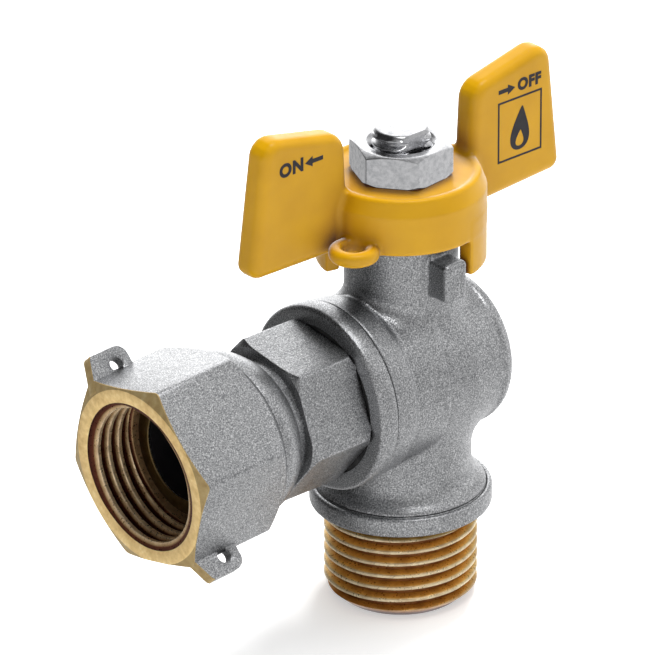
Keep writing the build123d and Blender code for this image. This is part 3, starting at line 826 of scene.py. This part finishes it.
# ---------------------------------------------------------------- handle
# Wings as (distance from the stem, z), the hub's half section as (radius, z).
INLET_WING = [(9.4, 54.2), (27.0, 54.5), (24.3, 74.0), (10.3, 71.0)]
FAR_WING = [(9.4, 55.0), (26.4, 56.0), (24.2, 75.3), (10.3, 72.2)]
WING_CORNERS = (0, 1.6, 2.6, 3.0)
HUB = [
    (0, 59.6), (SKIRT_INNER, 59.6), (SKIRT_INNER, 55.0), (11.1, 55.0), (11.4, 55.15), (SKIRT_OUTER, 55.45),
    (SKIRT_OUTER, 60.55), (11.4, 60.75), (10.8, 62.35), (10.68, 62.62), (10.45, 62.78), (10.1, 62.8),
    (9.8, 62.7), (9.45, 62.5), (8.9, 62.42), (0, HUB_TOP),
]
STOP_TABS = [(-77.95, -39.95), (129.95, 167.95)]


def rounded(corners, radii):
    """Outline with circular corners, as points."""
    points = []
    for k, (corner, radius) in enumerate(zip(corners, radii)):
        if radius == 0:
            points.append(corner)
            continue
        here = np.array(corner)
        ways = []
        for other in (corners[k - 1], corners[(k + 1) % len(corners)]):
            way = np.array(other) - here
            ways.append(way / np.linalg.norm(way))
        half = np.arccos(ways[0] @ ways[1]) / 2
        bisector = (ways[0] + ways[1]) / np.linalg.norm(ways[0] + ways[1])
        centre = here + bisector * radius / sin(half)
        first = here + ways[0] * radius / tan(half) - centre
        last = here + ways[1] * radius / tan(half) - centre
        for t in np.linspace(0, 1, 6):
            spoke = first * (1 - t) + last * t
            points.append(tuple(centre + spoke / np.linalg.norm(spoke) * radius))
    return points


INLET_OUTLINE = rounded(INLET_WING, WING_CORNERS)
FAR_OUTLINE = rounded(FAR_WING, WING_CORNERS)


def wing_field(u, v, z, outline):
    """A wing in its own plane: u away from the stem, v across its thickness."""
    half_thick, edge = 2.0, 1.3
    return rounded_edge(outline_distance(u, z, outline), np.abs(v) - half_thick, edge)


def handle_field(x, y, z):
    """Hub, two wings, two stop tabs and the seal eye, less the pocket and the flatted stem hole."""
    round_z = np.hypot(x, y)
    hub = outline_distance(round_z, z, HUB)
    far = wing_field(x, y + WING_OFFSET, z, FAR_OUTLINE)
    near = wing_field(-x, -y + WING_OFFSET, z, INLET_OUTLINE)
    wings = np.minimum(near, far)
    wings = np.maximum(wings, -rod(round_z, z, 7.6, HUB_TOP, 80.0))
    solid = soft_min(hub, wings, 1.0)
    angle = np.degrees(np.arctan2(y, x))
    skirt = np.maximum(round_z - SKIRT_OUTER, SKIRT_INNER - round_z)
    skirt = np.maximum(skirt, np.maximum(50.1 - z, z - 57.8))
    for start, end in STOP_TABS:
        middle = (start + end) / 2
        apart = (np.abs(angle - middle) - (end - start) / 2) * round_z * pi / 180
        solid = soft_min(solid, soft_max(skirt, apart, 0.3), 0.3)
    eye_reach, eye_turn = 13.2, radians(199.4)
    eye = np.hypot(x - eye_reach * cos(eye_turn), y - eye_reach * sin(eye_turn))
    ring = rounded_edge(np.abs(eye - 2.45) - 0.95, np.abs(z - 55.8) - 1.0, 0.8)
    ring = np.maximum(ring, SKIRT_INNER - round_z)
    solid = soft_min(solid, ring, 0.6)
    pocket = rod(round_z, z, SKIRT_INNER, 40.0, 59.6)
    pocket = np.minimum(pocket, np.maximum(rod(round_z, z, 4.05, 50.0, 70.0), np.abs(y) - 3.05))
    pocket = np.minimum(pocket, rod(eye, z, 1.5, 50.0, 60.0))
    return soft_max(solid, -pocket, 0.3)


def make_handle(paint):
    points, faces = surface_net(handle_field, (-28.2, -13.2, 49.4), (27.6, 12.8, 76.2), 0.3)
    handle = add_piece("handle_casting", points, faces, "handle_and_ball", [paint], sharp=0)
    handle.visible_glossy = False  # keeps the metal a neutral grey
    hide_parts("handle")


def word(text, x, y, z, size, ink):
    """Raised print of a generic word, readable from -Y."""
    name = "print_" + text.lower()
    curve = bpy.data.curves.new(name, "FONT")
    curve.body = text
    curve.size = size * MM
    curve.align_x = "CENTER"
    curve.align_y = "CENTER"
    curve.extrude = 0.012 * MM
    curve.offset = 0.12 * MM
    curve.space_character = 1.12
    holder = bpy.data.objects.new("holder", curve)
    bpy.context.scene.collection.objects.link(holder)
    bpy.context.view_layer.update()
    mesh = bpy.data.meshes.new_from_object(holder)
    bpy.data.objects.remove(holder)
    mesh.transform(Matrix.Translation((x * MM, y * MM, z * MM)) @ Matrix.Rotation(pi / 2, 4, "X"))
    mesh.materials.clear()
    mesh.materials.append(ink)
    piece = bpy.data.objects.new(name, mesh)
    bpy.context.scene.collection.objects.link(piece)
    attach(piece, "handle_and_ball")


def decal(name, polygons, y, ink):
    """Thin flat shapes in a wing's plane, each polygon a list of (x, z)."""
    points, faces = [], []
    for polygon in polygons:
        start, n = len(points), len(polygon)
        points += [(x, y, z) for x, z in polygon]
        points += [(x, y + INK_DEPTH, z) for x, z in polygon]
        faces.append(tuple(range(start, start + n)))
        faces.append(tuple(range(start + 2 * n - 1, start + n - 1, -1)))
        for i in range(n):
            j = (i + 1) % n
            faces.append((start + i, start + n + i, start + n + j, start + j))
    add_piece(name, points, faces, "handle_and_ball", [ink], sharp=20)


def arrow(name, tail, head, z, y, ink):
    """Printed arrow from one x to another."""
    barb, shaft, wide = 1.35, 0.3, 0.75
    neck = head - (barb if head > tail else -barb)
    shape = [
        (tail, z - shaft), (neck, z - shaft), (neck, z - wide), (head, z), (neck, z + wide),
        (neck, z + shaft), (tail, z + shaft),
    ]
    if head < tail:
        shape.reverse()
    decal(name, [shape], y, ink)


def frame_bars(left, right, low, high, wide):
    """Four bars round a rectangle."""
    low_in, high_in = low + wide, high - wide
    return [
        [(left, low), (right, low), (right, low_in), (left, low_in)],
        [(left, high_in), (right, high_in), (right, high), (left, high)],
        [(left, low_in), (left + wide, low_in), (left + wide, high_in), (left, high_in)],
        [(right - wide, low_in), (right, low_in), (right, high_in), (right - wide, high_in)],
    ]


def flame_loop(middle, centre, half, height, lean):
    """Outline of a flame: a drop drawn to a tip that leans to one side."""
    loop = []
    for k in range(FLAME_POINTS):
        a = 2 * pi * k / FLAME_POINTS
        rise = 0.5 + 0.5 * cos(a)
        taper = 1 - 0.8 * rise
        loop.append((middle - half * taper * sin(a) + lean * rise ** 2, centre + height * cos(a)))
    return loop


def make_marks(ink):
    """Printed marks: ON, OFF, arrows and a plain framed flame."""
    near_y, far_y = -0.6, -3.44
    word("ON", -20.05, near_y, 69.05, 2.55, ink)
    arrow("print_arrow_on", -14.5, -17.7, 69.05, near_y, ink)
    word("OFF", 20.2, far_y, 70.45, 2.25, ink)
    arrow("print_arrow_off", 14.55, 17.6, 70.45, far_y, ink)
    decal("print_frame", frame_bars(14.45, 22.55, 60.0, 68.9, 0.3), far_y, ink)
    flame = flame_loop(18.45, 64.2, 2.5, 3.15, 0.5)
    heart = flame_loop(18.45, 62.75, 1.05, 1.15, 0.2)
    back_y = far_y + INK_DEPTH
    loops = [(flame, far_y), (heart, far_y), (heart, back_y), (flame, back_y)]
    points = [(x, y, z) for loop, y in loops for x, z in loop]
    faces = ring_faces(len(loops), FLAME_POINTS)
    add_piece("print_flame", points, faces, "handle_and_ball", [ink], sharp=20)


# ---------------------------------------------------------------- top of the stem
def make_stem_nut(zinc):
    """Thin hexagon nut, chamfered at both ends."""
    flats, turn, corner = 12.3, radians(6.3), 0.2
    angles = hex_angles(turn, flats, corner, 18, 5)
    hexagon = hex_radius(angles, flats, turn, corner)
    top = 66.9 - np.maximum(hexagon - 6.0, 0) * 0.42
    foot = 62.42 + np.maximum(hexagon - 6.5, 0) * 0.75
    rings = [
        (4.02, 62.42), (4.02, 66.2), (4.6, 66.84), (4.75, 66.9), (5.85, 66.9),
        (np.minimum(hexagon, 6.0), 66.88), (hexagon - 0.06, top + 0.01), (hexagon, top - 0.08),
        (hexagon, foot + 0.1), (hexagon - 0.08, foot), (np.minimum(hexagon, 6.4) - 0.1, 62.42),
    ]
    points = turned_z(rings, angles)
    faces = ring_faces(len(rings), len(angles))[:, ::-1]
    nut = add_piece("stem_nut", points, faces, "handle_and_ball", [zinc], sharp=28)
    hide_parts("handle_nut")


def flats_radius(half, wave):
    """Radius at which two flats lie; wave is the sine or cosine of each angle."""
    return half / np.maximum(np.abs(wave), 1e-6)


def make_stem(plate, zinc):
    """Whole stem: tang, collar, grooved shank, and the threaded end with two flats."""
    count, pitch = 144, 1.25
    angles = even_angles(count)
    turns = angles / (2 * pi)
    tang = np.minimum(flats_radius(4.5, np.cos(angles)), flats_radius(1.5, np.sin(angles)))
    flat = flats_radius(3.0, np.sin(angles))
    rings = [
        (tang - 0.1, 40.6), (tang, 40.7), (tang, 42.98), (6.1, 43.0), (6.2, 43.1), (6.2, 45.15),
        (6.1, 45.2), (4.95, 45.2), (4.95, 48.25), (3.75, 48.25), (3.75, 49.75), (4.95, 49.75),
        (4.95, 52.25), (3.75, 52.25), (3.75, 53.75), (4.95, 53.75), (4.95, 59.5), (4.85, 59.6),
        (np.minimum(4.0, flat), 59.6),
    ]
    shank = len(rings)
    for z in np.arange(59.7, 68.35, 0.08):
        rings.append((np.minimum(whitworth(z / pitch - turns, 3.3, 4.0), flat), z))
    for z, radius in ((68.45, 3.75), (68.7, 3.6), (68.84, 3.42), (68.9, 3.2)):
        rings.append((np.minimum(radius, flat - (z > 68.5) * 0.06), z))
    faces = [tuple(f) for f in ring_faces(len(rings), count, closed=False)]
    mats = [0] * (shank * count) + [1] * (len(faces) - shank * count) + [1, 0]
    last = (len(rings) - 1) * count
    faces.append(tuple(range(last, last + count)))
    faces.append(tuple(range(count - 1, -1, -1)))
    points = turned_z(rings, angles)
    stem = add_piece("stem_shank", points, faces, "handle_and_ball", [plate, zinc], mats, sharp=35)
    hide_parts("stem")


def paint_node(node, mat):
    """Gives a CAD node that stays as it is its material."""
    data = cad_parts[node].data
    data.materials.clear()
    data.materials.append(mat)


# ---------------------------------------------------------------- the scene
# Painted thread light from the inner to the outer radius: painted shade in the roots, painted highlight on
# the crests.
OUTLET_PAINTED_SHADING = [
    (0.0, (0.20, 0.07, 0.02)), (0.25, (0.62, 0.33, 0.07)),
    (0.75, (0.86, 0.55, 0.16)), (1.0, (0.96, 0.82, 0.55)),
]
BORE_PAINTED_SHADING = [
    (0.0, (0.95, 0.76, 0.50)), (0.28, (0.80, 0.55, 0.28)),
    (0.5, (0.18, 0.05, 0.02)), (1.0, (0.06, 0.012, 0.008)),
]

make_camera()
make_studio()

nickel = blasted_nickel()
zinc = bright_zinc("bright_zinc")
plate = bright_zinc("stem_plate", 0.3, 0.45, 0.66)
outlet_brass = thread_brass_painted_shading("outlet_brass", (0, 0, 0), (0, 0, 1), OUTLET_PAINTED_SHADING, 9.3, 10.48)
# Painted dark reflection at the foot of the outlet thread.
paint_foot_reflection(outlet_brass, 0.7, 2.4)
nut_axis = (cos(DROOP), 0, sin(DROOP))
bore_brass = thread_brass_painted_shading("bore_brass", tuple(PIVOT * MM), nut_axis, BORE_PAINTED_SHADING, 9.3, 10.6)
# Copies of machined brass at painted light levels: a little brighter on the nut's front face, painted shade
# on the chamfer and ear strips and on the connector's nose inside the nut.
nose_brass_painted_shade = raw_brass("brown_brass", 0.3)
# Painted shadow: a near-black surface for the connector's bore wall.
bore_shadow = plain_soft("bore_shadow", (0.004, 0.004, 0.005), (0.012, 0.010, 0.012), 0.5, 600)
face_brass = raw_brass("raw_brass", 1.08, 0.4)
edge_brass_painted_shade = raw_brass("edge_brass_painted_shade", 0.6, 0.5)
ink = plain_soft("black_ink", (0.012, 0.010, 0.016), (0.02, 0.018, 0.022), 0.45, 700)
ptfe = plain_soft("ptfe", (0.86, 0.86, 0.84), (0.93, 0.93, 0.91), 0.5, 500)
rubber = plain_soft("rubber", (0.012, 0.012, 0.013), (0.03, 0.03, 0.03), 0.6, 900)

make_forging(nickel)
make_front_ring(nickel)
make_flange(nickel)
make_outlet_thread(outlet_brass)
make_tail(nickel, nose_brass_painted_shade, bore_shadow)
make_union(nickel, face_brass, edge_brass_painted_shade, bore_brass)
make_handle(yellow_paint())
make_marks(ink)
make_stem_nut(zinc)
make_stem(plate, zinc)
paint_node("ball", bright_zinc("ball_chrome", 0.05, 0.1, 0.9))
paint_node("union_retaining_ring", bright_zinc("ring_wire", 0.25, 0.4, 0.55))
for node in ("inlet_seat", "rear_seat", "stem_thrust_washer"):
    paint_node(node, ptfe)
for node in ("inlet_seat_backing", "rear_seat_backing"):
    paint_node(node, rubber)
for node in ("body_seal", "stem_o_ring_lower", "stem_o_ring_upper"):
    paint_node(node, rubber)
